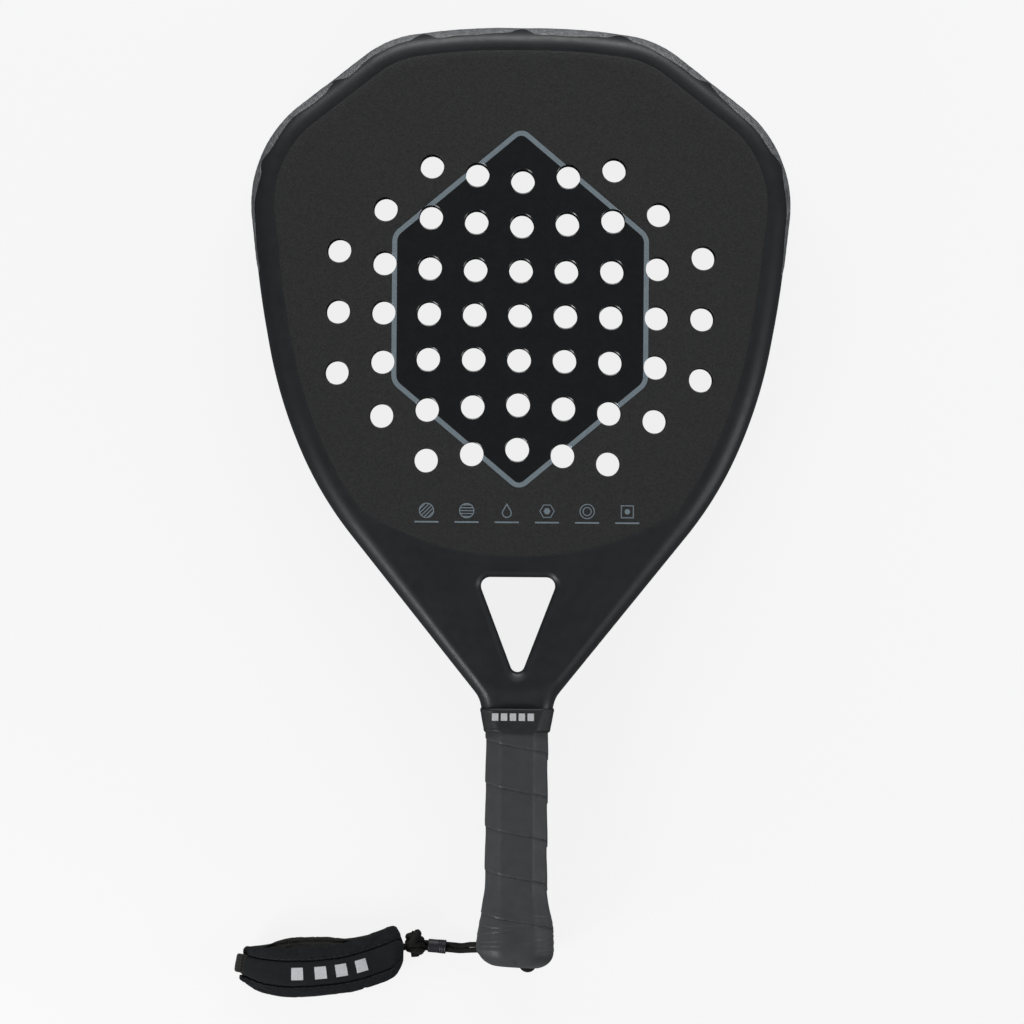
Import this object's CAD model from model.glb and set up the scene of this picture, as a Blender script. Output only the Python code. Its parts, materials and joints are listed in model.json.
"""Padel racket with a wrist cord and a padded cuff: visual pieces, materials, light and camera."""

import json
import math
import random

import bmesh
import bpy
import numpy as np
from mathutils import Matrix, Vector, noise
from mathutils.geometry import delaunay_2d_cdt

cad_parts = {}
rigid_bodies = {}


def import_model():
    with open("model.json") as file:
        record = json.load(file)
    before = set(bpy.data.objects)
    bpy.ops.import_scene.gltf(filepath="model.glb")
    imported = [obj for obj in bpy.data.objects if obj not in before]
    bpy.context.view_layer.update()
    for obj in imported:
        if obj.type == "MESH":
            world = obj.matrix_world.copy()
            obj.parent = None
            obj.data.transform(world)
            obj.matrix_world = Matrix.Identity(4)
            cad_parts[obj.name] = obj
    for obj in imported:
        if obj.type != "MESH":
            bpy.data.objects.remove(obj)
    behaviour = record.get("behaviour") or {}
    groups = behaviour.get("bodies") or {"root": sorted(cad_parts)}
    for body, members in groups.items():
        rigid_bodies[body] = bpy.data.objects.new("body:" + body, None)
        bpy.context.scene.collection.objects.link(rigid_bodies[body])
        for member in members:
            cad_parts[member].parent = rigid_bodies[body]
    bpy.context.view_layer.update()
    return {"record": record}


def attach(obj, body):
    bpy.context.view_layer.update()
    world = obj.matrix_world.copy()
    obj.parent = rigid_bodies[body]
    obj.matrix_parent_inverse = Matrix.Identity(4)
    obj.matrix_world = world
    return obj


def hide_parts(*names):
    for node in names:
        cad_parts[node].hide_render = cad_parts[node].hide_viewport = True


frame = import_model()

# All lengths below are in millimetres, and become metres when a mesh is made.
MM = 0.001
THICK = 38.0
MID_Z = THICK / 2

# --- Camera ---

LENS = 400
SENSOR = 36
FIELD = 496.2  # width of the picture on the racket's middle plane
LEAN = math.radians(0.43)  # the racket leans this far clockwise in the picture

camera_data = bpy.data.cameras.new("camera")
camera_data.lens = LENS
camera_data.sensor_width = SENSOR
camera_data.clip_start = 0.2
camera_data.clip_end = 30
camera = bpy.data.objects.new("camera", camera_data)
bpy.context.collection.objects.link(camera)
camera.location = (-3.2 * MM, -7.0 * MM, (MID_Z + FIELD / SENSOR * LENS) * MM)
camera.rotation_euler = (0, 0, LEAN)
bpy.context.scene.camera = camera


# --- Numbers ---


def smooth(t):
    t = min(max(t, 0.0), 1.0)
    return t * t * (3 - 2 * t)


def ramp(x, low, high):
    """0 below low, 1 above high, smooth between."""
    return smooth((x - low) / (high - low))


def bell(x, width):
    return math.exp(-((x / width) ** 2))


def power(x, exponent):
    """A power that keeps the sign."""
    return math.copysign(abs(x) ** exponent, x)


def edge_drop(distance, r):
    """Fall of an edge rounded with radius r, as a share of it, at a distance from the edge's end."""
    return 1 - math.sqrt(max(0, 1 - max(0, 1 - distance / r) ** 2))


def around(n):
    """Angles of n points on a circle."""
    return [2 * math.pi * k / n for k in range(n)]


def rough(x, y, z, scale, octaves=4):
    """Fractal noise, about -1 to 1, with features of the given size in mm."""
    return noise.fractal(Vector((x, y, z)) / scale, 1.0, 2.0, octaves)


def spline(route, steps):
    """Smooth curve through the route's points, as in the CAD."""
    route = [np.array(p, float) for p in route]
    out = []
    for i in range(len(route) - 1):
        p, q = route[i], route[i + 1]
        before = route[i - 1] if i > 0 else 2 * p - q
        after = route[i + 2] if i < len(route) - 2 else 2 * q - p
        leave, arrive = (q - before) / 2, (after - p) / 2
        for k in range(steps):
            t = k / steps
            out.append(p * (2 * t**3 - 3 * t**2 + 1) + q * (3 * t**2 - 2 * t**3)
                       + leave * (t**3 - 2 * t**2 + t) + arrive * (t**3 - t**2))
    out.append(route[-1])
    return out


def evenly(path, step):
    """The same path with a point every step mm."""
    path = np.array(path, float)
    along = np.r_[0, np.cumsum(np.linalg.norm(np.diff(path, axis=0), axis=1))]
    count = max(2, int(round(along[-1] / step)) + 1)
    at = np.linspace(0, along[-1], count)
    return [np.array([np.interp(s, along, path[:, k]) for k in range(path.shape[1])]) for s in at]


def round_corner(a, b, c, r, steps):
    """Arc of radius r that rounds corner b, as (point, inward normal) for a clockwise path."""
    a, b, c = Vector(a), Vector(b), Vector(c)
    u, v = (a - b).normalized(), (c - b).normalized()
    half = u.angle(v) / 2
    centre = b + (u + v).normalized() * (r / math.sin(half))
    start = b + u * (r / math.tan(half)) - centre
    turns_left = u.x * v.y - u.y * v.x > 0
    sign = -1 if turns_left else 1
    out = []
    for i in range(steps + 1):
        t = sign * (math.pi - 2 * half) * i / steps
        arm = Vector((start.x * math.cos(t) - start.y * math.sin(t), start.x * math.sin(t) + start.y * math.cos(t)))
        out.append((centre + arm, arm.normalized() * (-1 if turns_left else 1)))
    return out


def rounded(corners, steps):
    """Closed outline with each [x, y, radius] corner rounded."""
    n = len(corners)
    out = []
    for i, (x, y, r) in enumerate(corners):
        before, after = corners[i - 1][:2], corners[(i + 1) % n][:2]
        out += [tuple(p) for p, _ in round_corner(before, (x, y), after, r, steps)]
    return out


def offset(loop, d):
    """A closed loop of points moved inwards by d, with mitred corners. Any direction of travel."""
    pts = np.array(loop, float)
    area = np.sum(pts[:, 0] * np.roll(pts[:, 1], -1) - np.roll(pts[:, 0], -1) * pts[:, 1])
    ahead = np.roll(pts, -1, axis=0) - pts
    ahead /= np.linalg.norm(ahead, axis=1)[:, None]
    left = np.stack([-ahead[:, 1], ahead[:, 0]], axis=1) * (1 if area > 0 else -1)
    both = left + np.roll(left, 1, axis=0)
    both /= np.maximum(np.sum(both * np.roll(left, 1, axis=0), axis=1), 0.5)[:, None]
    return pts + both * d


def inside(loop, spots):
    """Which of the spots lie inside a closed loop."""
    pts = np.array(loop, float)
    x, y = np.asarray(spots, float).T
    hit = np.zeros(x.shape, bool)
    xa, ya = pts[:, 0], pts[:, 1]
    xb, yb = np.roll(xa, -1), np.roll(ya, -1)
    for i in range(len(pts)):
        if ya[i] != yb[i]:
            hit ^= ((ya[i] > y) != (yb[i] > y)) & (x < (xb[i] - xa[i]) * (y - ya[i]) / (yb[i] - ya[i]) + xa[i])
    return hit


# --- Meshes ---


def face_outwards(mesh):
    bm = bmesh.new()
    bm.from_mesh(mesh)
    bmesh.ops.recalc_face_normals(bm, faces=bm.faces)
    bm.to_mesh(mesh)
    bm.free()


class Solid:
    """Points in mm and faces, collected and then made into one object."""

    def __init__(self):
        self.points = []
        self.faces = []

    def add(self, points):
        start = len(self.points)
        self.points += [tuple(float(c) for c in p) for p in points]
        return list(range(start, len(self.points)))

    def strip(self, a, b, closed=True):
        n = len(a)
        for i in range(n if closed else n - 1):
            j = (i + 1) % n
            self.faces.append((a[i], a[j], b[j], b[i]))

    def rings(self, rings):
        rows = [self.add(ring) for ring in rings]
        for a, b in zip(rows, rows[1:]):
            self.strip(a, b)
        return rows

    def bar(self, rings):
        """Closed solid through rings, with a flat face at each end."""
        rows = self.rings(rings)
        self.faces += [tuple(rows[0]), tuple(rows[-1])]

    def fan(self, ring, centre):
        (c,) = self.add([centre])
        for i in range(len(ring)):
            self.faces.append((ring[i], ring[(i + 1) % len(ring)], c))

    def loft(self, rings):
        """Closed solid through rings, with a domed middle point in each end."""
        rows = self.rings(rings)
        for row, ring in ((rows[0], rings[0]), (rows[-1], rings[-1])):
            self.fan(row, np.mean(np.array(ring, float), axis=0))

    def sleeve(self, outer, inner):
        """Closed wall between two sets of rings with the same number of points."""
        rows = self.rings(list(outer) + list(inner)[::-1])
        self.strip(rows[-1], rows[0])

    def make(self, name, materials, replaces=(), body="racket", sharp=40, face_material=None, uvs=None):
        mesh = bpy.data.meshes.new(name)
        mesh.from_pydata([(x * MM, y * MM, z * MM) for x, y, z in self.points], [], self.faces)
        if uvs is not None:
            layer = mesh.uv_layers.new(name="lay")
            for loop in mesh.loops:
                layer.data[loop.index].uv = uvs[loop.vertex_index]
        for m in materials:
            mesh.materials.append(m)
        if face_material is not None:
            for poly, index in zip(mesh.polygons, face_material):
                poly.material_index = index
        face_outwards(mesh)
        for poly in mesh.polygons:
            poly.use_smooth = True
        mesh.set_sharp_from_angle(angle=math.radians(sharp))
        obj = bpy.data.objects.new(name, mesh)
        bpy.context.collection.objects.link(obj)
        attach(obj, body)
        if replaces:
            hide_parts(*replaces)
        return obj


def apply_modifiers(obj):
    """Bake the object's modifiers into its mesh."""
    graph = bpy.context.evaluated_depsgraph_get()
    baked = bpy.data.meshes.new_from_object(obj.evaluated_get(graph))
    obj.modifiers.clear()
    obj.data = baked


def cut(obj, cutters):
    """Subtract closed solids from an object, each given as (points, faces) in mm."""
    for points, faces in cutters:
        mesh = bpy.data.meshes.new("cutter")
        mesh.from_pydata([(x * MM, y * MM, z * MM) for x, y, z in points], [], faces)
        face_outwards(mesh)
        tool = bpy.data.objects.new("cutter", mesh)
        bpy.context.collection.objects.link(tool)
        mod = obj.modifiers.new("cut", "BOOLEAN")
        mod.operation = "DIFFERENCE"
        mod.solver = "EXACT"
        mod.object = tool
        bpy.context.view_layer.update()
        apply_modifiers(obj)
        bpy.data.objects.remove(tool)


def rod(start, end, r):
    """Closed cylinder between two points, as (points, faces)."""
    start, end = Vector(start), Vector(end)
    along = (end - start).normalized()
    across = along.orthogonal().normalized()
    up = along.cross(across)
    sides = 32
    points = []
    for at in (start, end):
        for a in around(sides):
            points.append(tuple(at + r * (math.cos(a) * across + math.sin(a) * up)))
    faces = [(k, (k + 1) % sides, sides + (k + 1) % sides, sides + k) for k in range(sides)]
    faces += [tuple(range(sides - 1, -1, -1)), tuple(range(sides, 2 * sides))]
    return points, faces


def frames_along(path):
    """Each point of a path with its across and up, turned as little as possible."""
    path = [Vector(p) for p in path]
    out = []
    across = None
    for i, p in enumerate(path):
        along = (path[min(i + 1, len(path) - 1)] - path[max(i - 1, 0)]).normalized()
        if across is None:
            across = along.cross(Vector((0.1, 0.2, 1))).normalized()
        across = (across - along * across.dot(along)).normalized()
        out.append((p, across, across.cross(along)))
    return out


def braided_tube(solid, path, d, pitch=2.6, depth=0.09):
    """Round cord along a path, with the small diamond lumps of a braid."""
    sides = 24
    rings = []
    travelled = 0.0
    last = None
    for p, across, up in frames_along(path):
        if last is not None:
            travelled += (p - last).length
        last = p
        ring = []
        for a in around(sides):
            s = 2 * math.pi * travelled / pitch
            lump = math.cos(3 * a + s) * math.cos(3 * a - s)
            r = d / 2 - depth + depth * lump
            ring.append(p + r * (math.cos(a) * across + math.sin(a) * up))
        rings.append(ring)
    solid.loft(rings)


# --- Materials ---


class Paint:
    """A Principled material that is put together from small steps."""

    def __init__(self, name, color, roughness, uv=False, **values):
        self.material = bpy.data.materials.new(name)
        self.material.use_nodes = True
        self.nodes = self.material.node_tree.nodes
        self.links = self.material.node_tree.links
        self.shader = self.nodes["Principled BSDF"]
        self.color = color
        self.shader.inputs["Base Color"].default_value = (*color, 1)
        self.shader.inputs["Roughness"].default_value = roughness
        for key, value in values.items():
            self.shader.inputs[key.replace("_", " ").title().replace("Ior", "IOR")].default_value = value
        self.place = self.node("TexCoord").outputs["UV" if uv else "Object"]
        self.normal = None

    def node(self, kind, **inputs):
        """New shader node, with each input set to a value or linked to a socket."""
        made = self.nodes.new("ShaderNode" + kind)
        for key, value in inputs.items():
            socket = made.inputs[key.replace("_", " ").title()]
            if isinstance(value, bpy.types.NodeSocket):
                self.links.new(value, socket)
            else:
                socket.default_value = value
        return made

    def noise(self, scale, detail=4.0, roughness=0.55, stretch=None, distortion=0.0):
        """Noise, in a space that may be stretched by a scale and turned by an angle."""
        place = self.place
        if stretch is not None:
            size, turn = stretch
            place = self.node("Mapping", scale=size, rotation=(0, 0, turn), vector=place).outputs["Vector"]
        return self.node("TexNoise", scale=scale, detail=detail, roughness=roughness, distortion=distortion,
                         vector=place).outputs["Fac"]

    def cells(self, scale, feature="F1", randomness=1.0):
        tex = self.node("TexVoronoi", scale=scale, randomness=randomness, vector=self.place)
        tex.feature = feature
        return tex.outputs["Distance"]

    def waves(self, scale, direction):
        tex = self.node("TexWave", scale=scale, detail=1, vector=self.place)
        tex.bands_direction = direction
        return tex.outputs["Fac"]

    def times(self, a, b):
        node = self.node("Math")
        node.operation = "MULTIPLY"
        self.links.new(a, node.inputs[0])
        self.links.new(b, node.inputs[1])
        return node.outputs[0]

    def tint(self, fac, dark, light, low=0.3, high=0.7):
        """Colour between two multiples of the base colour, or two colours, by fac."""
        node = self.node("ValToRGB", fac=fac)
        ends = [c if isinstance(c, tuple) else tuple(min(c * x, 1) for x in self.color) for c in (dark, light)]
        for element, at, c in zip(node.color_ramp.elements, (low, high), ends):
            element.position = at
            element.color = (*c, 1)
        self.links.new(node.outputs["Color"], self.shader.inputs["Base Color"])
        return self

    def vary(self, fac, low, high):
        """Roughness between two values by fac."""
        node = self.node("MapRange", from_min=0.3, from_max=0.7, to_min=low, to_max=high, value=fac)
        self.links.new(node.outputs["Result"], self.shader.inputs["Roughness"])
        return self

    def bump(self, height, distance_mm, strength=1.0):
        node = self.node("Bump", strength=strength, distance=distance_mm * MM, height=height)
        if self.normal is not None:
            self.links.new(self.normal, node.inputs["Normal"])
        self.normal = node.outputs["Normal"]
        self.links.new(self.normal, self.shader.inputs["Normal"])
        return self


def gray(value, blue=0.0):
    """Linear colour of an sRGB level from 0 to 255, slightly blue if asked."""
    c = ((value / 255 + 0.055) / 1.055) ** 2.4
    return (c * (1 - blue), c, c * (1 + blue))


p = Paint("satin_carbon", gray(33, 0.12), 0.5, coat_weight=0.15, coat_roughness=0.3)
p.tint(p.noise(60, 3), 0.85, 1.15).vary(p.noise(220, 4), 0.45, 0.55)
p.bump(p.noise(1400, 3), 0.02, 0.35).bump(p.noise(90, 2), 0.12, 0.12)
CARBON = p.material

p = Paint("textured_face", gray(39), 0.62)
p.tint(p.noise(1100, 3, 0.7), 0.6, 1.6).vary(p.noise(400, 3), 0.55, 0.7)
p.bump(p.cells(950), 0.12, 0.5).bump(p.noise(2600, 3, 0.7), 0.05, 0.5)
FACE = p.material

p = Paint("gloss_black_print", gray(24, 0.08), 0.3, coat_weight=0.3, coat_roughness=0.12)
p.vary(p.noise(160, 4), 0.26, 0.36).tint(p.noise(700, 3), 0.85, 1.2).bump(p.cells(950), 0.05, 0.25)
GLOSS = p.material

p = Paint("silver_print", (0.27, 0.33, 0.37), 0.42, metallic=0.25)
p.tint(p.noise(1800, 3, 0.7), 0.86, 1.12).vary(p.noise(300, 3), 0.36, 0.5).bump(p.cells(950), 0.05, 0.25)
SILVER = p.material

p = Paint("rough_guard_film", gray(112, 0.04), 0.42, specular_ior_level=0.7)
crumple = p.noise(520, 7, 0.72, stretch=((1, 0.45, 1), 0.7), distortion=1.2)
p.tint(crumple, 0.4, 1.7, 0.36, 0.66).vary(p.noise(500, 4), 0.25, 0.55)
p.bump(crumple, 0.7, 0.9).bump(p.noise(1500, 4, 0.7), 0.12, 0.8)
GUARD = p.material

p = Paint("core_foam", gray(40), 0.85)
p.tint(p.noise(900, 4), 0.7, 1.3).bump(p.cells(1100), 0.12, 0.8)
CORE = p.material

p = Paint("light_foam", (0.7, 0.7, 0.64), 0.9)
p.tint(p.noise(500, 4), 0.9, 1.05).bump(p.cells(900), 0.15, 0.7)
FOAM = p.material

p = Paint("wrap", gray(68, 0.03), 0.5, specular_ior_level=0.45, sheen_weight=0.08, sheen_roughness=0.5)
p.tint(p.noise(120, 5), 0.88, 1.1).vary(p.noise(260, 4), 0.44, 0.58)
p.bump(p.noise(2400, 3, 0.6), 0.03, 0.5).bump(p.noise(420, 4, stretch=((1, 3, 1), 0)), 0.1, 0.35)
WRAP = p.material

p = Paint("black_rubber", gray(38, 0.05), 0.55)
p.tint(p.noise(240, 4), 0.85, 1.15).vary(p.noise(300, 3), 0.5, 0.62).bump(p.noise(1800, 3), 0.03, 0.5)
RUBBER = p.material

p = Paint("cord_braid", (0.0075, 0.0078, 0.006), 0.8, sheen_weight=0.05, specular_ior_level=0.3,
          sheen_roughness=0.5)
p.tint(p.noise(1400, 4, 0.7), 0.6, 1.5).bump(p.noise(4200, 3, 0.7), 0.05, 0.9)
BRAID = p.material

p = Paint("lock_rubber", (0.021, 0.019, 0.026), 0.5)
p.tint(p.noise(500, 4), 0.85, 1.15).vary(p.noise(600, 3), 0.42, 0.55).bump(p.noise(2500, 3), 0.03, 0.5)
LOCK = p.material

p = Paint("cuff_knit", (0.006, 0.0075, 0.0095), 0.85, uv=True, specular_ior_level=0.3, sheen_weight=0.08,
          sheen_roughness=0.45)
knit = p.times(p.waves(310, "X"), p.waves(310, "Y"))
p.tint(p.noise(160, 5, 0.65), 0.75, 1.35).bump(knit, 0.12, 0.7).bump(p.noise(2200, 3, 0.7), 0.06, 0.6)
KNIT = p.material

p = Paint("cuff_mesh", (0.019, 0.020, 0.017), 0.85, uv=True, specular_ior_level=0.3, sheen_weight=0.08,
          sheen_roughness=0.5)
net = p.cells(620, "DISTANCE_TO_EDGE", 0.15)
p.tint(net, 1.5, 0.5, 0.05, 0.3).bump(net, 0.25, 0.9)
MESH = p.material

p = Paint("white_print", (0.66, 0.67, 0.69), 0.6)
p.tint(p.noise(900, 4, 0.7), 0.82, 1.08).bump(p.noise(2500, 3), 0.05, 0.7)
WHITE = p.material

p = Paint("thread", gray(24, 0.06), 0.75, sheen_weight=0.05)
p.tint(p.noise(2500, 3), 0.7, 1.3).bump(p.noise(6000, 2), 0.03, 0.8)
THREAD = p.material

CAD_MATERIALS = {
    "frame": CARBON, "foam": FOAM, "core": CORE, "face": FACE, "guard": GUARD, "print_black": GLOSS,
    "print_silver": SILVER, "cap": WRAP, "base_grip": RUBBER, "overgrip": WRAP, "collar": RUBBER,
    "print_white": WHITE, "cord": BRAID, "lock": LOCK, "lining": MESH, "cuff": KNIT,
}
for part in frame["record"]["subparts"]:
    cad = bpy.data.objects[part["node"]]
    for place in cad.material_slots:
        place.material = CAD_MATERIALS[part["material_slot"]]


# --- Outline of the frame ---

TIP = 227.0
BUTT = -227.5
NECK_END = -106.0

# Corners of the right half, each with the radius that rounds it, as in the CAD
OUTLINE = [
    (0, TIP, 0), (28.8, TIP, 300), (65.1, TIP - 5.3, 52), (133.5, TIP - 58.8, 60), (125.5, TIP - 130.5, 450),
    (116.5, TIP - 179.5, 230), (96.3, TIP - 226.5, 180), (18.2, BUTT + 130.5, 14), (16.6, NECK_END, 0),
]


def half_outline(step):
    """Points of the right half from the tip to the neck, each with its inward normal."""
    out = [(Vector((0, TIP)), Vector((0, -1)))]
    for i in range(1, len(OUTLINE) - 1):
        a, b, c = (OUTLINE[j][:2] for j in (i - 1, i, i + 1))
        r = OUTLINE[i][2]
        bend = (Vector(b) - Vector(a)).angle(Vector(c) - Vector(b))
        arc = round_corner(a, b, c, r, max(3, int(r * bend / step)))
        gap = arc[0][0] - out[-1][0]
        count = int(gap.length / step)
        for k in range(1, count):
            out.append((out[-1][0] + gap / count, arc[0][1]))
        out += arc if (arc[0][0] - out[-1][0]).length > 0.2 else arc[1:]
    end = Vector(OUTLINE[-1][:2])
    last, normal = out[-1]
    for k in range(1, 7):
        out.append((last + (end - last) * k / 6, normal))
    return out


half = half_outline(1.6)
EDGE = np.array([(-q.x, q.y) for q, _ in half[:0:-1]] + [(q.x, q.y) for q, _ in half])
INWARD = np.array([(-n.x, n.y) for _, n in half[:0:-1]] + [(n.x, n.y) for _, n in half])
ALONG = np.r_[0, np.cumsum(np.linalg.norm(np.diff(EDGE, axis=0), axis=1))]
TOP_AT = ALONG[len(half) - 1]  # distance along the edge at which the tip lies


def thinning(y):
    return 1 - 0.15 * ramp(-y, 90.5, 102)


def rim_round(y):
    """Width of the rounding, which narrows along the arms towards the neck."""
    return 9.5 - 3.2 * ramp(-y, 0, 95)


def rim_row(angle, front, swell=0.0):
    """Points round the frame at an angle of its rounding, 0 at the side wall, 90 at the face."""
    a = math.radians(angle)
    ys = EDGE[:, 1]
    d = np.array([rim_round(y) for y in ys]) * (1 - math.cos(a)) - swell
    level = (MID_Z - 10 + 10 * math.sin(a)) * np.array([thinning(y) for y in ys])
    xy = EDGE + INWARD * d[:, None]
    return [(x, y, MID_Z + (z if front else -z)) for (x, y), z in zip(xy, level)]


# --- Regions of the head ---

FACE_ARC = (116.5, 145.0)  # middle and radius of the arc along the faces' lower edge
RIM_W = 10.8


def face_loop():
    """Edge of the faces: along the rim, then across on the arc."""
    inner = EDGE + INWARD * RIM_W
    cy, r = FACE_ARC
    reach = np.hypot(inner[:, 0], inner[:, 1] - cy)
    keep = np.where((reach < r) & (inner[:, 1] > -60))[0]
    first, last = keep[0], keep[-1]
    loop = [tuple(q) for q in inner[first:last + 1]]
    t = (reach[last + 1] - r) / (reach[last + 1] - reach[last])
    right = inner[last + 1] + (inner[last] - inner[last + 1]) * t
    start = math.atan2(right[1] - cy, right[0])
    end = -math.pi - start
    count = int(abs(end - start) * r / 2)
    turns = [start + (end - start) * k / count for k in range(count + 1)]
    return loop + [(r * math.cos(a), cy + r * math.sin(a)) for a in turns]


FACE_LOOP = face_loop()

HOLE_R = 5.75
ROW_PITCH, COLUMN_PITCH = 21.6, 22
ROW_REACH = [2, 3, 4, 4, 4, 3, 2]  # columns to each side of the middle one, row by row from the top
# How far each hole lies outside its row's straight line, by row and column from the middle
ROW_BOW = [[0, 0, 0, 0, 0], [0, 0, 0.4, 2.2, 7.9], [0, 1.4, 3.3, 6.7], [0, 2.7, 6.2]]


def hole_centres():
    turn = math.radians(-0.8)  # the pattern is turned a little on the face
    c, q = math.cos(turn), math.sin(turn)
    out = []
    for i, reach in enumerate(ROW_REACH):
        row = 3 - i
        for column in range(-reach, reach + 1):
            x = column * COLUMN_PITCH
            y = row * ROW_PITCH + (1 if row >= 0 else -1) * ROW_BOW[abs(row)][abs(column)]
            out.append((x * c - y * q, TIP - 139 + x * q + y * c))
    return out


HOLES = hole_centres()


def circle(centre, r, n):
    return [(centre[0] + r * math.cos(a), centre[1] + r * math.sin(a)) for a in around(n)]


def throat_loop(d):
    """Throat opening, made smaller by d."""
    return rounded([
        (20 + 1.5 * d, -38.5 + d, 4.5 + d),
        (0, -91 - 3.8 * d, 3.5 + d),
        (-20 - 1.5 * d, -38.5 + d, 4.5 + d)], 14)


PANEL_W, PANEL_RISE, PANEL_TOP, PANEL_END = 62, 52, TIP - 48, TIP - 224
LINE_W = 2.4


def panel_loop(d):
    """Hexagon of the panel, made smaller by d."""
    slant = math.hypot(PANEL_W, PANEL_RISE)
    tip_in = d * slant / PANEL_W
    x = PANEL_W - d
    y = PANEL_RISE + d * (slant - PANEL_RISE) / PANEL_W
    return rounded([
        (0, PANEL_TOP - tip_in, 6 - d), (x, PANEL_TOP - y, 8 - d), (x, PANEL_END + y, 8 - d),
        (0, PANEL_END + tip_in, 6 - d), (-x, PANEL_END + y, 8 - d), (-x, PANEL_TOP - y, 8 - d)], 8)


def triangulate(loops, spots):
    """Constrained triangles over closed loops and loose points: points, triangles, first copies."""
    verts, edges = [], []
    for loop in loops:
        start = len(verts)
        verts += [Vector((float(q[0]), float(q[1]))) for q in loop]
        edges += [(start + k, start + (k + 1) % len(loop)) for k in range(len(loop))]
    verts += [Vector(q) for q in spots]
    out, _, faces, origins, _, _ = delaunay_2d_cdt(verts, edges, [], 0, 1e-5)
    where = {}
    for i, sources in enumerate(origins):
        for source in sources:
            where[source] = i
    return np.array([(q.x, q.y) for q in out]), np.array(faces), where


def grid_spots(box, step, keep):
    """Slightly shaken grid points inside a box, where keep says so."""
    x0, y0, x1, y1 = box
    rng = random.Random(3)
    pts = []
    row = 0
    y = y0
    while y < y1:
        x = x0 + (step / 2 if row % 2 else 0)
        while x < x1:
            pts.append((x + rng.uniform(-0.12, 0.12) * step, y + rng.uniform(-0.12, 0.12) * step))
            x += step
        y += step * 0.866
        row += 1
    pts = np.array(pts)
    return [tuple(q) for q in pts[keep(pts)]]


def distance_to(loop, spots):
    """Distance from each spot to the nearest point of a loop."""
    pts, loop = np.asarray(spots, float), np.array(loop, float)
    out = np.empty(len(pts))
    for i in range(0, len(pts), 500):
        out[i:i + 500] = np.linalg.norm(pts[i:i + 500, None, :] - loop[None, :, :], axis=2).min(axis=1)
    return out


# --- Frame: tube, arms, neck and throat in one moulding ---

BEVEL = 2.6
LIP_W, LIP_DROP = 1.1, 0.3  # shallow slope in the moulding beside the face plate


def top_level(spots):
    """Height of the frame's front between its roundings: flush along the ridge, then a shallow dip."""
    y = np.asarray(spots, float)[:, 1]
    from_ridge = distance_to(EDGE, spots) - np.array([rim_round(v) for v in y])
    from_face = distance_to(FACE_LOOP, spots)
    dip = np.array([0.7 * ramp(a, 0.3, 5) * ramp(b, 0.5, 5) for a, b in zip(from_ridge, from_face)])
    return MID_Z + MID_Z * np.array([thinning(v) for v in y]) - dip


def frame_moulding():
    s = Solid()
    angles = [90 * k / 11 for k in range(12)]
    rows = [rim_row(a, False) for a in angles[::-1]] + [rim_row(a, True) for a in angles]
    ids = [s.add(row) for row in rows]
    for a, b in zip(ids, ids[1:]):
        s.strip(a, b, closed=False)
    s.faces.append(tuple(r[0] for r in ids) + tuple(r[-1] for r in reversed(ids)))

    lip = offset(FACE_LOOP, -LIP_W)
    throat_rings = [(throat_loop(BEVEL * (1 - t)), BEVEL * (1 - math.sqrt(1 - t * t)) * 0.55 + BEVEL * t * 0.5)
                    for t in (0, 0.12, 0.3, 0.5, 0.7, 0.85, 1)]
    outer = [(q[0], q[1]) for q in rows[-1]]
    throat = throat_rings[0][0]
    spots = grid_spots((-110, -105, 110, -10), 2.6, lambda q: (
        inside(outer, q) & (distance_to(outer, q) > 1.6) & ~inside(lip, q) & (distance_to(lip, q) > 1.6)
        & ~inside(throat, q) & (distance_to(throat, q) > 1.4)))
    pts, tris, where = triangulate([outer, lip, throat], spots)
    middle = pts[tris].mean(axis=1)
    tris = tris[inside(outer, middle) & ~inside(lip, middle) & ~inside(throat, middle)]
    level = top_level(pts)
    n_outer, n_lip, n_throat = len(outer), len(lip), len(throat)
    inner_walls = []
    for front in (True, False):
        row = ids[-1] if front else ids[0]
        known = {where[i]: row[i] for i in range(n_outer)}
        z = level if front else THICK - level
        rest = [i for i in range(len(pts)) if i not in known]
        known.update(zip(rest, s.add([(pts[i][0], pts[i][1], z[i]) for i in rest])))
        for t in tris:
            s.faces.append(tuple(known[i] for i in t))
        lip_ids = [known[where[n_outer + i]] for i in range(n_lip)]
        throat_ids = [known[where[n_outer + n_lip + i]] for i in range(n_throat)]
        # the lip beside the face plate
        bottom = THICK - LIP_DROP if front else LIP_DROP
        wall = s.add([(x, y, bottom) for x, y in FACE_LOOP])
        s.strip(lip_ids, wall)
        # the bevel round the throat opening
        previous = throat_ids
        for loop, drop in throat_rings[1:]:
            base = top_level(loop) - drop
            ring = s.add([(x, y, h if front else THICK - h) for (x, y), h in zip(loop, base)])
            s.strip(previous, ring)
            previous = ring
        inner_walls.append((wall, previous))
    s.strip(inner_walls[0][0], inner_walls[1][0])
    s.strip(inner_walls[0][1], inner_walls[1][1])
    return s.make("frame_moulding", [CARBON], ["frame_tube", "throat_bridge"], sharp=50)


frame_moulding()


# --- Faces, prints and core ---

FACE_TOP = THICK - 0.12
FACE_THICK = 0.9


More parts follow.
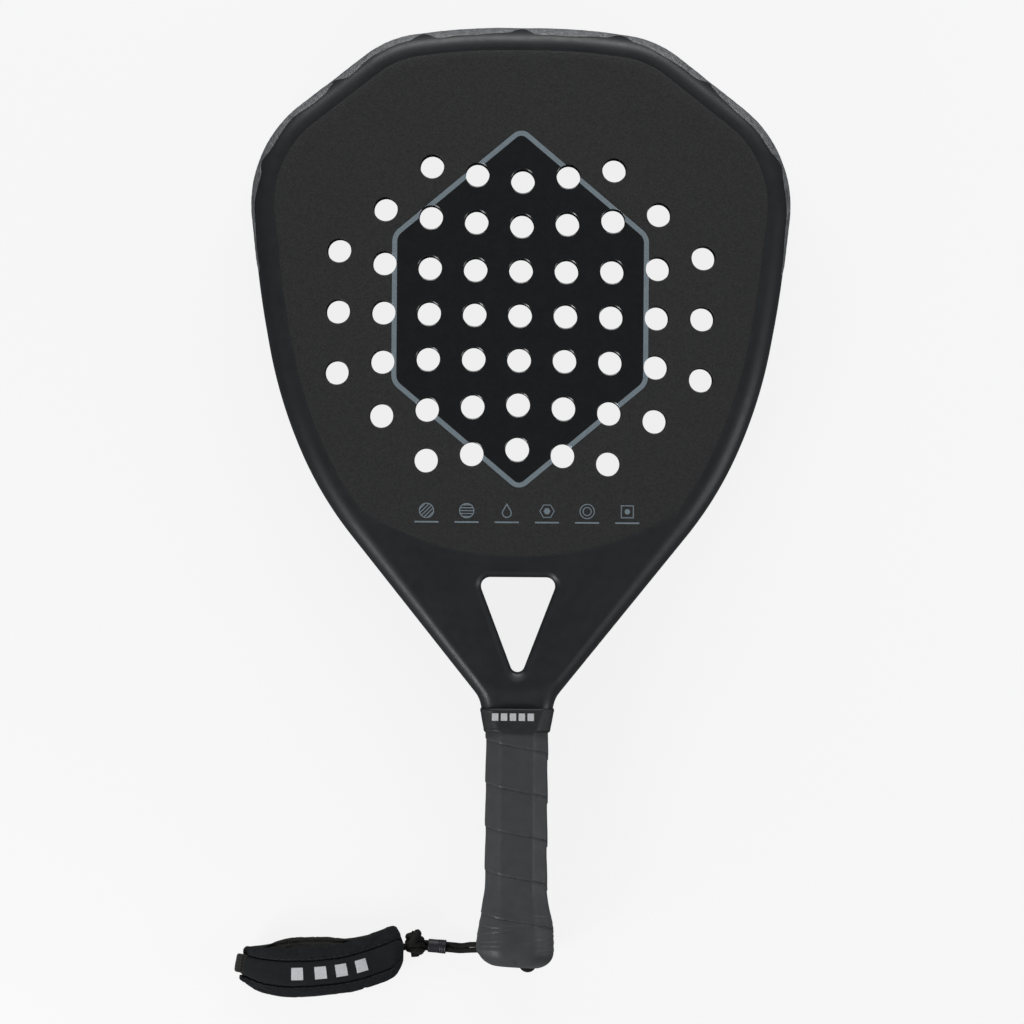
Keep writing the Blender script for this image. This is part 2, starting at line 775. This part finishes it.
def slab(name, material, pts, tris, top, bottom, replaces, front=True):
    """Closed plate over some triangles, between two heights per point."""
    used = sorted(set(int(i) for t in tris for i in t))
    s = Solid()
    flip = (lambda z: z) if front else (lambda z: THICK - z)
    high = dict(zip(used, s.add([(pts[i][0], pts[i][1], flip(top[i])) for i in used])))
    low = dict(zip(used, s.add([(pts[i][0], pts[i][1], flip(bottom[i])) for i in used])))
    seen = {}
    for t in tris:
        a, b, c = (int(i) for i in t)
        s.faces.append((high[a], high[b], high[c]))
        s.faces.append((low[a], low[c], low[b]))
        for e in ((a, b), (b, c), (c, a)):
            seen[e] = True
    for a, b in seen:
        if (b, a) not in seen:
            s.faces.append((high[b], high[a], low[a], low[b]))
    return s.make(name, [material], replaces, sharp=35)


def face_and_prints():
    rim = [offset(FACE_LOOP, 0.04), offset(FACE_LOOP, 0.5), offset(FACE_LOOP, 1.2)]
    sides = 56
    loops = rim + [circle(c, r, sides) for c in HOLES for r in (HOLE_R, HOLE_R + 0.14, HOLE_R + 0.45)]
    loops += [panel_loop(0), panel_loop(LINE_W)]
    centres = np.array(HOLES)

    def hole_gap(q):
        return np.hypot(q[:, 0, None] - centres[:, 0], q[:, 1, None] - centres[:, 1]).min(axis=1) - HOLE_R

    spots = grid_spots((-125, -40, 125, 220), 5, lambda q: (
        inside(rim[2], q) & (distance_to(rim[2], q) > 2) & (hole_gap(q) > 2)
        & (distance_to(panel_loop(0), q) > 1.5) & (distance_to(panel_loop(LINE_W), q) > 1.5)))
    pts, tris, _ = triangulate(loops, spots)
    mid = pts[tris].mean(axis=1)
    on_face = inside(rim[0], mid) & (hole_gap(mid) > -0.02)
    in_panel = inside(panel_loop(LINE_W), mid) & on_face
    in_line = inside(panel_loop(0), mid) & on_face & ~in_panel
    # soft edges along the rim and round each hole
    near_hole = np.array([0.34 * (1 - ramp(g, -0.05, 0.42)) for g in hole_gap(pts)])
    near_rim = np.array([0.25 * (1 - ramp(g, 0.04, 1.2)) for g in distance_to(FACE_LOOP, pts)])
    level = FACE_TOP - np.maximum(near_hole, near_rim)
    under = np.full(len(pts), THICK - FACE_THICK)
    for front in (True, False):
        side = "front" if front else "back"
        slab(f"{side}_face_plate", FACE, pts, tris[on_face], level, under, [f"{side}_face"], front)
        slab(f"{side}_panel_print", GLOSS, pts, tris[in_panel], level + 0.1, level - 0.02,
             [f"{side}_panel"], front)
        slab(f"{side}_line_print", SILVER, pts, tris[in_line], level + 0.11, level - 0.02,
             [f"{side}_line"], front)


def core_slab():
    loop = offset(FACE_LOOP, 0.02)
    loops = [loop] + [circle(c, HOLE_R + 0.12, 48) for c in HOLES]
    pts, tris, _ = triangulate(loops, [])
    mid = pts[tris].mean(axis=1)
    keep = inside(loop, mid)
    for c in HOLES:
        keep &= np.hypot(mid[:, 0] - c[0], mid[:, 1] - c[1]) > HOLE_R + 0.05
    top = np.full(len(pts), THICK - FACE_THICK - 0.02)
    slab("core_slab", CORE, pts, tris[keep], top, THICK - top, ["core"])


face_and_prints()
core_slab()


# --- Edge guard ---

# Distances along the edge from the tip at which the guard is nipped in, and its two ends
GUARD_NIPS = [0, 48, -48, 99, -99, 152, -152]
GUARD_END = 206
GUARD_REACH = 51  # degrees of the rounding that it covers


def edge_guard():
    s = Solid()
    step = 0.8
    count = int(2 * GUARD_END / step)
    shares = [-1] + [0.95 * (k / 16 - 1) for k in range(33)] + [1]
    outer, inner = [], []
    for k in range(count + 1):
        at = -GUARD_END + 2 * GUARD_END * k / count
        here = TOP_AT + at
        i = int(np.searchsorted(ALONG, here)) - 1
        t = (here - ALONG[i]) / (ALONG[i + 1] - ALONG[i])
        x, y = EDGE[i] * (1 - t) + EDGE[i + 1] * t
        n = INWARD[i] * (1 - t) + INWARD[i + 1] * t
        n /= np.linalg.norm(n)
        nip = max(bell(at - q, 4.5) for q in GUARD_NIPS)
        if abs(at) > 99:
            nip *= 0.55
        fade = 1 - 0.5 * ramp(abs(at), 140, GUARD_END)
        wave = 1 + 0.07 * math.sin(at / 9) + 0.04 * math.sin(at / 3.7 + 1)
        reach = GUARD_REACH * (1 - 0.6 * nip) * fade * wave
        body = (1 - 0.75 * nip) * (1 - ramp(abs(at), GUARD_END - 6, GUARD_END) * 0.9)
        ring_out, ring_in = [], []
        for share in shares:
            a = math.radians(reach * share)
            inset = 9.5 * (1 - math.cos(a))
            z = MID_Z + math.copysign(9, share) * min(1, abs(share) * 3) + 10 * math.sin(a)
            if abs(share) < 1 / 3:
                z = MID_Z + 27 * share + 10 * math.sin(a)
            out = np.array([-n[0] * math.cos(a), -n[1] * math.cos(a), math.sin(a)])
            base = np.array([x + n[0] * inset, y + n[1] * inset, z])
            lump = rough(base[0], base[1], base[2] * 0.7, 2.2, 4)
            crease = abs(rough(base[0] + base[1] * 0.6 + 31, base[1] - base[0] * 0.6, base[2], 4.5, 3))
            taper = 1 - 0.75 * smooth((abs(share) - 0.86) / 0.14)
            thick = body * taper * (0.38 + 0.12 * lump + 0.16 * crease * ramp(abs(at), 60, 130))
            thick = min(max(thick, 0.05), 0.5)
            ring_out.append(base + out * thick)
            ring_in.append(base - out * 0.05)
        outer.append(ring_out)
        inner.append(ring_in)
    s.bar([a + b[::-1] for a, b in zip(outer, inner)])
    # the outermost columns and the underside are the film's dark cut edge
    last = len(shares) - 2
    columns = [0 if 0 < k < last else 1 for k in range(2 * len(shares))]
    dark = columns * count + [1, 1]
    return s.make("edge_guard_film", [GUARD, RUBBER], ["edge_guard"], sharp=60, face_material=dark)


edge_guard()


# --- Handle ---

FLARE_START, FLARE_END, GRIP_END = BUTT + 41, BUTT + 11, BUTT + 5.5
GRIP_START = NECK_END - 0.5
ROUND_L, ROUND_FROM, ROUND_TURN = 9, BUTT + 9, math.radians(80)
RING = 144


def section(w, h, r, c):
    """Rounded octagon, as RING points of X and Z from the middle of its top, towards +X."""
    corners = [(w - c, h, r), (w, h - c, r), (w, c - h, r), (w - c, -h, r), (c - w, -h, r), (-w, c - h, r),
               (-w, h - c, r), (c - w, h, r)]
    loop = np.array([(0, h)] + rounded(corners, 6) + [(0, h)], float)
    along = np.r_[0, np.cumsum(np.linalg.norm(np.diff(loop, axis=0), axis=1))]
    at = np.linspace(0, along[-1], RING, endpoint=False)
    return np.stack([np.interp(at, along, loop[:, 0]), np.interp(at, along, loop[:, 1])], axis=1)


def ring_at(y, w, h, r, c, out=0.0):
    """Section at y, with each point moved outwards by out (one number, or one for each point)."""
    pts = section(w, h, r, c)
    around = np.roll(pts, -1, axis=0) - np.roll(pts, 1, axis=0)
    around /= np.linalg.norm(around, axis=1)[:, None]
    normal = np.stack([-around[:, 1], around[:, 0]], axis=1)
    pts = pts + normal * np.reshape(out, (-1, 1))
    tilt = 0.055 * ramp(-y, 213, 224)  # the butt's end is slightly slanted
    return [(x, y - tilt * x, MID_Z + z) for x, z in pts]


def grip_size(y, d=0.0):
    """Half width, half depth, corner radius and corner cut of the grip's surface at y."""
    f = 3.7 * ramp(FLARE_START - y, 0, FLARE_START - FLARE_END)
    a = math.asin(min(max((ROUND_FROM - y) / ROUND_L, 0), 1) * math.sin(ROUND_TURN))
    inset = 11 * (1 - math.cos(a))
    w = 15 + f - inset - d
    return w, 16.5 + 0.45 * f - inset - d, 3 + 2 * f - 0.45 * inset, w * 0.47


def round_y(degrees):
    """Place along the butt's rounding at an angle of it."""
    return ROUND_FROM - ROUND_L * math.sin(math.radians(degrees)) / math.sin(ROUND_TURN)


SEAM_AT, PITCH = -120.4, 21.1


def wrap_height(share, y):
    """How far the overgrip stands out of its lowest level, round the handle and along it."""
    u = ((SEAM_AT - PITCH * share - y) / PITCH) % 1.0
    level = 0.4 * ramp(u, 0.25, 0.95) - 0.08 * bell((1 - u) * PITCH, 0.4)
    level -= 0.24 * bell(u * PITCH, 0.42)
    return level


def overgrip():
    s = Solid()
    outer, inner = [], []
    y = GRIP_START
    stations = []
    while y > ROUND_FROM:
        stations.append(y)
        y -= 0.4
    stations += [round_y(a) for a in range(0, 77, 3)]
    for y in stations:
        w, h, r, c = grip_size(y)
        shares = np.arange(RING) / RING
        out = np.zeros(RING)
        on_flare = ramp(-y, 196, 204) * (1 - ramp(-y, 222, 226))
        for k, share in enumerate(shares):
            pull = rough(share * 60, y, 3.0, 9, 3)
            fold = 0.0
            for at, tall, run in ((-201.5, 0.2, 1.2), (-205.6, 0.3, 1.8), (-209.8, 0.34, 2.2), (-213.6, 0.36, -1.6),
                                  (-216.6, 0.3, 1.2), (-219.6, 0.26, -0.9)):
                line = at - run * math.sin(2 * math.pi * share + at) + 0.8 * rough(share * 30, at, 0, 8, 2)
                crest = bell(y - line, 0.8) - 0.9 * bell(y - line + 0.85, 0.32)
                fold += tall * crest * (0.55 + 0.45 * rough(share * 20, at, 5, 6, 2))
            out[k] = -0.16 + wrap_height(share, y) + 0.07 * pull + fold * on_flare
            # a pinhole in the wrap beside the cord, on the front of the rounding
            if abs(y + 224.4) < 3:
                x = section(w, h, r, c)[k]
                out[k] -= 1.1 * bell(math.hypot(x[0] - 0.8, y + 224.6), 0.7) * (1 if x[1] > 0 else 0)
        outer.append(ring_at(y, w, h, r, c, out))
        inner.append(ring_at(y, w, h, r, c, -0.68))
    s.sleeve(outer, inner)
    obj = s.make("overgrip_wrap", [WRAP], ["overgrip"], sharp=70)
    cut(obj, [rod(PORT_IN, PORT_OUT, PORT_R)])
    return obj


PORT_AT = Vector((-13, BUTT + 9.1, MID_Z - 9.8))
PORT_WAY = Vector((-math.cos(math.radians(30)), 0, -math.sin(math.radians(30))))
PORT_IN, PORT_OUT, PORT_R = PORT_AT - PORT_WAY * 6, PORT_AT + PORT_WAY * 14, 3.0


def butt_cap():
    s = Solid()
    rings = []
    for y in (FLARE_START - 12, FLARE_START - 18, FLARE_START - 24, FLARE_END, GRIP_END + 0.02):
        rings.append(ring_at(y, *grip_size(y, 2.52)))
    for a in range(24, 81, 4):
        rings.append(ring_at(round_y(a), *grip_size(round_y(a), 0.72)))
    flat = rings[-1]
    middle = np.mean(np.array(flat), axis=0)
    for share in (0.92, 0.75, 0.5, 0.25):
        rings.append([tuple(middle + (np.array(q) - middle) * share) for q in flat])
    s.loft(rings)
    obj = s.make("butt_cap_plug", [WRAP], ["butt_cap"], sharp=45)
    inner = [ring_at(y, 12.52, 14.02, 3, 12.5 * 0.47) for y in (FLARE_START, GRIP_END)]
    core = Solid()
    core.loft(inner)
    cutters = [(core.points, core.faces)]
    for x in (3.15, 8.85):
        cutters.append(rod((x, GRIP_END + 3, MID_Z), (x, BUTT - 3, MID_Z), 1.55))
    cutters.append(rod(PORT_IN, PORT_OUT, PORT_R))
    cut(obj, cutters)
    return obj


overgrip()
butt_cap()


COLLAR_TOP, COLLAR_END = BUTT + 125.5, BUTT + 113.9


def collar_size(y):
    """Half width, half depth, corner radius and corner cut of the collar at y."""
    t = (COLLAR_TOP - y) / (COLLAR_TOP - COLLAR_END)
    return 17.9 - 1.55 * t - 0.55 * t * t, 17.4, 4.6, 5 + 1.5 * t


def collar():
    s = Solid()
    outer, inner = [], []
    steps = 26
    for k in range(steps + 1):
        y = COLLAR_TOP + (COLLAR_END - COLLAR_TOP) * k / steps
        size = collar_size(y)
        lip = -0.45 * edge_drop(min(y - COLLAR_END, COLLAR_TOP - y), 0.6)
        bead = 0.16 * bell(y - (COLLAR_TOP - 1.1), 0.5) + 0.14 * bell(y - (COLLAR_END + 1.2), 0.5)
        wobble = [0.05 * rough(q[0], y, q[1], 7, 2) for q in section(*size)]
        outer.append(ring_at(y, *size, np.array(wobble) + lip + bead))
        if y > GRIP_START:
            w_in = 17.4 - 0.7 * (COLLAR_TOP - y) / (COLLAR_TOP - GRIP_START)
            inner.append(ring_at(y, w_in, 16.6, 4, 4.4))
        else:
            inner.append(ring_at(y, 15.22, 16.72, 3.1, 15 * 0.47))
    s.sleeve(outer, inner)
    return s.make("collar_sleeve", [RUBBER], ["collar"], sharp=60)


collar()


def collar_blocks():
    """Five plain blocks that follow the front of the collar."""
    s = Solid()
    for i in range(-2, 3):
        x0 = -2.0 + 4.3 * i - 1.55
        rows = []
        for j in range(9):
            y = -106.1 - 1.8 + 3.6 * j / 8
            loop = section(*collar_size(y))
            upper = loop[loop[:, 1] > 8]
            upper = upper[np.argsort(upper[:, 0])]
            xs = [x0 + 3.1 * k / 6 for k in range(7)]
            zs = [MID_Z + float(np.interp(x, upper[:, 0], upper[:, 1])) for x in xs]
            top = [(x, y, z + 0.16) for x, z in zip(xs, zs)]
            rows.append(top + [(x, y, z - 0.15) for x, z in list(zip(xs, zs))[::-1]])
        s.bar(rows)
    return s.make("collar_blocks", [WHITE], ["collar_print"], sharp=40)


collar_blocks()


# --- Wrist cord ---

CORD_D = 2.5
ROUTE_A = [
    (3.15, -222.5, 19), (1.6, -219.8, 17.9), (-1.4, -219.5, 16), (-4.5, -219.6, 14.2), (-7.6, -219.7, 12.4),
    (-10.7, -219.7, 10.6), (-13.8, -219.8, 8.8), (-16.9, -219.8, 7), (-20.2, -219.9, 5.4), (-23.6, -220.1, 4.3),
    (-27.1, -220.3, 3.6), (-30.7, -220, 3.6), (-34.3, -219.7, 3.6), (-37.8, -219.5, 3.6), (-41.4, -219.2, 3.6),
    (-45, -218.9, 3.6)]
ROUTE_B = [
    (8.85, -222.5, 19), (8.4, -218.8, 18.5), (5.9, -216.3, 17.2), (2.4, -215.9, 15.6), (-1.1, -216.1, 14.2),
    (-4.8, -216.6, 13), (-8.3, -216.9, 11.4), (-11.7, -217, 9.7), (-15.1, -217.1, 7.9), (-18.5, -217.2, 6.1),
    (-22.1, -217.3, 4.7), (-25.8, -217.9, 3.62), (-29.6, -217.6, 3.6), (-33.5, -217.3, 3.6), (-37.3, -217, 3.6),
    (-41.2, -216.7, 3.6), (-45, -216.4, 3.6)]


def strand(name, route, node):
    path = evenly(spline(route, 12), 0.2)
    s = Solid()
    braided_tube(s, path, CORD_D + 0.2, depth=0.03)
    obj = s.make(name, [BRAID], [node], sharp=80)
    return obj, [tuple(q * MM) for q in path]


strand_a, path_a = strand("strand_a", ROUTE_A, "cord_strand_a")
strand_b, path_b = strand("strand_b", ROUTE_B, "cord_strand_b")


def bight():
    bend = BUTT + 1.4
    path = [(3.15, BUTT + 5, MID_Z), (3.15, bend + 1, MID_Z)]
    for k in range(0, 25):
        a = math.pi + math.pi * k / 24
        path.append((6 + 2.85 * math.cos(a), bend + 2.6 * math.sin(a), MID_Z))
    path += [(8.85, bend + 1, MID_Z), (8.85, BUTT + 5, MID_Z)]
    s = Solid()
    braided_tube(s, evenly(path, 0.2), CORD_D + 0.2, depth=0.06)
    return s.make("cord_bight_loop", [BRAID], ["cord_bight"], sharp=80)


def knot():
    """A tied knot: three tight turns round the cord and one strand back over them."""
    middle = Vector((-48.9, -216.9, 5.1))
    route = [(-43.6, -217.8, 3.7), (-45.2, -219.6, 3.4)]
    turns, r = 3, 2.85
    for k in range(0, turns * 12 + 1):
        a = 2 * math.pi * (k / 12) - 1.0
        t = k / (turns * 12)
        bulge = r + 0.3 * math.sin(math.pi * t)
        route.append((middle.x + bulge * math.cos(a), middle.y + (t - 0.5) * 8.4, middle.z + bulge * math.sin(a)))
    route += [(-47.6, -211.6, 7.4), (-48.0, -213.2, 9.2), (-49.6, -215.4, 9.9), (-51.4, -217.4, 8.9),
              (-53.2, -218.4, 7.6), (-56.5, -218.8, 7.0)]
    s = Solid()
    braided_tube(s, evenly(spline(route, 8), 0.22), 3.5, pitch=2.9, depth=0.08)
    # the strand that the turns are wound on
    inner = [(middle.x + 0.3, middle.y - 6.3, middle.z - 0.4), (middle.x, middle.y - 3, middle.z),
             (middle.x - 0.2, middle.y + 2.5, middle.z), (middle.x + 0.5, middle.y + 5.6, middle.z - 0.5)]
    braided_tube(s, evenly(spline(inner, 10), 0.25), 4.0, pitch=2.9, depth=0.08)
    return s.make("tied_knot", [BRAID], ["cord_knot"], sharp=80)


LOCK_HALF, LOCK_R = 4.4, 3.25
BORE_R, BORE_SIDE = 1.62, 1.1  # the bore is a slot between two arcs, this far to each side


def lock():
    """Ribbed sleeve with a slot-shaped bore, on the straight stretch of both strands."""
    turn = math.radians(-4.45)
    way = Vector((math.cos(turn), math.sin(turn), 0))
    across = Vector((-math.sin(turn), math.cos(turn), 0))
    up = Vector((0, 0, 1))
    middle = Vector((-38, -218.2, 3.6))
    profile = []
    for k in range(0, 89):
        x = -LOCK_HALF + 0.1 * k
        edge = min(x + LOCK_HALF, LOCK_HALF - x)
        r = LOCK_R - 0.4 * edge_drop(edge, 0.4)
        if 0.6 < x:
            r += 0.2 * (0.5 + 0.5 * math.cos((x - 3.9) * 2 * math.pi / 1.1)) * ramp(edge, 0, 0.3)
        profile.append((x, r))
    outer, inner = [], []
    for x, r in profile:
        here = middle + way * x
        mouth = BORE_R + 0.3 * ramp(x, 2, LOCK_HALF)  # the end towards the racket is opened up
        ring_out, ring_in = [], []
        for a in around(72):
            c, q = math.cos(a), math.sin(a)
            side = math.copysign(BORE_SIDE, c) * min(1, abs(c) * 3)
            ring_out.append(here + across * (r * c) + up * (r * q))
            ring_in.append(here + across * (side + BORE_R * c) + up * (mouth * q))
        outer.append(ring_out)
        inner.append(ring_in)
    s = Solid()
    s.sleeve(outer, inner)
    return s.make("cord_lock_sleeve", [LOCK], ["cord_lock"], body="cord_lock", sharp=50)


bight_piece, knot_piece, lock_piece = bight(), knot(), lock()


# --- Cuff ---

CUFF_ROUTE = [
    (-54.6, -218.6, 10.4, 0.95), (-66, -223.5, 11.6, 1), (-80, -227.9, 14.2, 1), (-95, -230.1, 16, 1),
    (-110, -230.7, 16.2, 1), (-121, -229.7, 14.8, 0.95), (-127.7, -228, 12, 0.84), (-130.2, -227.2, 8.9, 0.77),
    (-127.7, -227.4, 5.8, 0.82), (-121, -228, 4.1, 0.93), (-110, -226.8, 3.9, 1), (-95, -225.9, 3.9, 1),
    (-80, -225.6, 3.9, 1), (-66, -222.9, 3.9, 1), (-54.6, -218.4, 3.9, 0.95)]
CUFF_PATH = evenly(spline(CUFF_ROUTE, 16), 1.1)
CUFF_ALONG = np.r_[0, np.cumsum([np.linalg.norm((b - a)[:3]) for a, b in zip(CUFF_PATH, CUFF_PATH[1:])])]
CUFF_LEN = CUFF_ALONG[-1]
CUFF_RING = 96
SEAM_MID, SEAM_HALF = -0.95, 6.05  # the two seams lie this far from the middle between them


def cuff_frame(i):
    here = CUFF_PATH[i]
    ahead, behind = CUFF_PATH[min(i + 2, len(CUFF_PATH) - 1)], CUFF_PATH[max(i - 2, 0)]
    along = Vector((ahead - behind)[:3]).normalized()
    turn = math.radians(min((here[0] + 108) * 0.44, 15) - 0.25 * max(here[0] + 66, 0))
    across = Vector((-math.sin(turn), math.cos(turn), 0))
    out = across.cross(along).normalized()
    return Vector(here[:3]), across, out, here[3]


def cuff_place(i, u, v):
    here, across, out, share = cuff_frame(i)
    spot = here + across * (u * share) + out * v
    spot.z = max(spot.z, 0.05)
    return spot


def cuff_section(i):
    """Padded section: a strip between two seams on the outside, a rolled edge at each side."""
    at = CUFF_ALONG[i]
    end = min(at, CUFF_LEN - at)
    full = 0.35 + 0.65 * math.sqrt(ramp(end, -1.5, 6.0))
    # the end is rounded, with a small radius at its upper corner and a large one below
    high_cut = 1 - 0.42 * edge_drop(end, 3.5)
    low_cut = 1 - 0.85 * edge_drop(end, 10)
    ring = []
    for a in around(CUFF_RING):
        c, q = math.cos(a), math.sin(a)
        u = 11.9 * power(c, 0.62)
        outside = q > 0
        v = (3.25 if outside else 2.9) * power(q, 0.78)
        if outside:
            to_seam = abs(abs(u - SEAM_MID) - SEAM_HALF)
            v -= 1.25 * bell(to_seam, 0.6) + 0.4 * bell(to_seam, 1.9)
            v += 0.5 * bell(u - SEAM_MID, 4.0)
            pucker = math.sin(at * 2 * math.pi / 3.1 + (1 if u > 0 else 2.2)) * bell(to_seam - 1.2, 1.0)
            v += 0.16 * pucker
        else:
            to_seam = abs(abs(u) - 9.6)
            v += 0.8 * bell(to_seam, 0.7)
        v *= full
        wrinkle = rough(at, u * 2.2, 2.0 if outside else 9.0, 11, 4)
        crease = abs(rough(at, u * 0.7, 40.0, 6.5, 3))
        v += (0.4 * wrinkle - 0.34 * bell(crease, 0.12)) * (1 if outside else -0.6) * full
        u *= (1 + 0.02 * rough(at, 5.0, u, 12, 3)) * (high_cut if u > 0 else low_cut)
        ring.append((u, v))
    return ring


def cuff_band():
    n = CUFF_RING
    s = Solid()
    rings, uvs = [], []
    for i in range(len(CUFF_PATH)):
        pts = cuff_section(i)
        rings.append([cuff_place(i, u, v) for u, v in pts])
        walk = 0.0
        for k, (u, v) in enumerate(pts):
            if k:
                walk += math.hypot(u - pts[k - 1][0], v - pts[k - 1][1])
            uvs.append((CUFF_ALONG[i] * MM, walk * MM))
    s.loft(rings)
    uvs += [(0, 0), (CUFF_LEN * MM, 0)]
    faces = []
    for f in s.faces:
        k = min(j % n for j in f)
        faces.append(1 if 0.53 * n < k < 0.97 * n and len(f) == 4 else 0)
    nodes = ["cuff_padding", "cuff_cover", "cuff_edge_front", "cuff_edge_rear", "cuff_lining", "cuff_cord"]
    obj = s.make("cuff_band", [KNIT, MESH], nodes, sharp=75, face_material=faces, uvs=uvs)
    held = []
    for i in range(len(CUFF_PATH)):
        near_end = min(CUFF_ALONG[i], CUFF_LEN - CUFF_ALONG[i]) < 5
        for k, (u, v) in enumerate(cuff_section(i)):
            if near_end or (v > 0 and abs(u - SEAM_MID) < SEAM_HALF + 1.4):
                held.append(i * n + k)
    puff_up(obj, held, 0.8)
    return obj


def puff_up(obj, held, cap_mm):
    """Fill a piece with air as cloth. Held points stay, and no point moves by more than the cap."""
    scene = bpy.context.scene
    start = np.empty(len(obj.data.vertices) * 3)
    obj.data.vertices.foreach_get("co", start)
    start = start.reshape(-1, 3)
    obj.vertex_groups.new(name="held").add(held, 1.0, "REPLACE")
    mod = obj.modifiers.new("cloth", "CLOTH")
    fabric = mod.settings
    fabric.quality = 5
    fabric.mass = 0.2
    fabric.tension_stiffness = fabric.compression_stiffness = 12
    fabric.shear_stiffness = 6
    fabric.bending_stiffness = 0.3
    fabric.use_pressure = True
    fabric.uniform_pressure_force = 4
    fabric.shrink_min = -0.03
    fabric.vertex_group_mass = "held"
    fabric.effector_weights.gravity = 0
    mod.collision_settings.use_collision = False
    mod.point_cache.frame_start, mod.point_cache.frame_end = 1, 20
    for number in range(1, 21):
        scene.frame_set(number)
    baked = obj.evaluated_get(bpy.context.evaluated_depsgraph_get()).data
    moved = np.empty(len(start) * 3)
    baked.vertices.foreach_get("co", moved)
    move = moved.reshape(-1, 3) - start
    far = np.linalg.norm(move, axis=1, keepdims=True)
    moved = start + move * np.minimum(1, cap_mm * MM / np.maximum(far, 1e-9))
    moved[:, 2] = np.maximum(moved[:, 2], 0.05 * MM)
    obj.modifiers.clear()
    obj.vertex_groups.clear()
    obj.data.vertices.foreach_set("co", moved.ravel())
    obj.data.update()
    scene.frame_set(1)


def cuff_outside(i, u, lift=0.0):
    """Point on the outer surface of the band at station i."""
    pts = cuff_section(i)[: CUFF_RING // 2 + 1]
    us = [q[0] for q in pts][::-1]
    vs = [q[1] for q in pts][::-1]
    return cuff_place(i, u, float(np.interp(u, us, vs)) + lift)


def cuff_stitches():
    """Short threads along both seams."""
    s = Solid()
    for u in (SEAM_MID - SEAM_HALF - 0.9, SEAM_MID + SEAM_HALF + 0.9):
        i = 6
        while i < len(CUFF_PATH) - 8:
            path = [cuff_outside(i, u, -0.05), cuff_outside(i + 1, u, 0.2), cuff_outside(i + 2, u, -0.05)]
            rings = []
            for q, across, up in frames_along(evenly(spline([tuple(x) for x in path], 3), 0.35)):
                rings.append([q + 0.2 * (math.cos(t) * across + math.sin(t) * up)
                              for t in around(8)])
            s.loft(rings)
            i += 3
    return s.make("cuff_stitching", [THREAD], sharp=80)


def station_at(distance):
    return int(np.argmin(np.abs(CUFF_ALONG - distance)))


def cuff_prints():
    """A row of plain blocks on the upper layer."""
    pieces = Solid()
    for k in range(4):
        start = 19.5 + 10.2 * k
        stations = list(range(station_at(start), station_at(start + 5.6) + 1))
        us = [SEAM_MID - 3 + 6 * j / 8 for j in range(9)]
        pieces.bar([[cuff_outside(i, u, 0.16) for u in us] + [cuff_outside(i, u, -0.1) for u in us[::-1]]
                    for i in stations])
    return pieces.make("cuff_blocks", [WHITE], ["cuff_print"], sharp=50)


def cuff_tab():
    """Short folded tab that is sewn into the cuff's far end."""
    s = Solid()
    fold = station_at(CUFF_LEN / 2)
    here, across, out, _ = cuff_frame(fold)
    base = here + out * 2.2
    up = across.cross(out)
    rings, uvs = [], []
    for j in range(29):
        t = 2 * j / 28 - 1
        share = (1 - abs(t) ** 5) ** 0.4 if abs(t) < 1 else 0.0
        ring = []
        for a in around(40):
            c, q = math.cos(a), math.sin(a)
            reach = 4.1 * (0.8 + 0.2 * share) * power(c, 0.6)
            rise = 2.6 * (0.72 + 0.28 * share) * power(q, 0.6)
            rise += 0.12 * math.sin(reach * 5) * (1 if q > 0 else -1)
            place = base + across * (4.5 * t) + out * reach + up * rise
            place += out * (0.15 * rough(*place, 3, 3))
            ring.append(place)
            uvs.append((t * 4.5 * MM, a * 3 * MM))
        rings.append(ring)
    s.loft(rings)
    return s.make("cuff_end_tab", [MESH], ["cuff_tab"], sharp=60, uvs=uvs + [(0, 0), (0, 0)])


band = cuff_band()
cuff_stitches()
cuff_prints()
cuff_tab()


# --- Light and floor ---


def area_light(name, place, target, size, watts):
    data = bpy.data.lights.new(name, "AREA")
    data.shape = "RECTANGLE"
    data.size, data.size_y = size
    data.energy = watts
    obj = bpy.data.objects.new(name, data)
    bpy.context.collection.objects.link(obj)
    obj.location = place
    obj.rotation_euler = (Vector(target) - Vector(place)).to_track_quat("-Z", "Y").to_euler()
    obj.visible_camera = False


area_light("head_light", (0.0, 1.35, 0.62), (0, 0.15, 0), (1.8, 0.5), 18)
area_light("left_light", (-0.5, -0.6, 0.3), (0, -0.17, 0.02), (0.3, 0.3), 3.2)
area_light("right_light", (0.75, -0.3, 0.32), (0, -0.16, 0.02), (0.3, 0.55), 1.8)
area_light("fill_light", (0.9, -1.5, 1.4), (0, 0, 0), (1.2, 1.2), 2.5)

world = bpy.data.worlds.new("world")
bpy.context.scene.world = world
world.use_nodes = True
world.node_tree.nodes["Background"].inputs["Color"].default_value = (0.9, 0.93, 1.0, 1)
world.node_tree.nodes["Background"].inputs["Strength"].default_value = 0.12

p = Paint("floor", (0.1, 0.1, 0.1), 0.9, specular_ior_level=0.0)
p.shader.inputs["Emission Color"].default_value = (1, 1, 1, 1)
p.shader.inputs["Emission Strength"].default_value = 0.86
bpy.ops.mesh.primitive_plane_add(size=12, location=(0, 0, -0.0002))
floor = bpy.context.object
floor.name = "floor"
floor.data.materials.append(p.material)
floor.visible_glossy = False
floor.visible_diffuse = False

bpy.context.scene.view_settings.view_transform = "Standard"
bpy.context.scene.view_settings.look = "None"
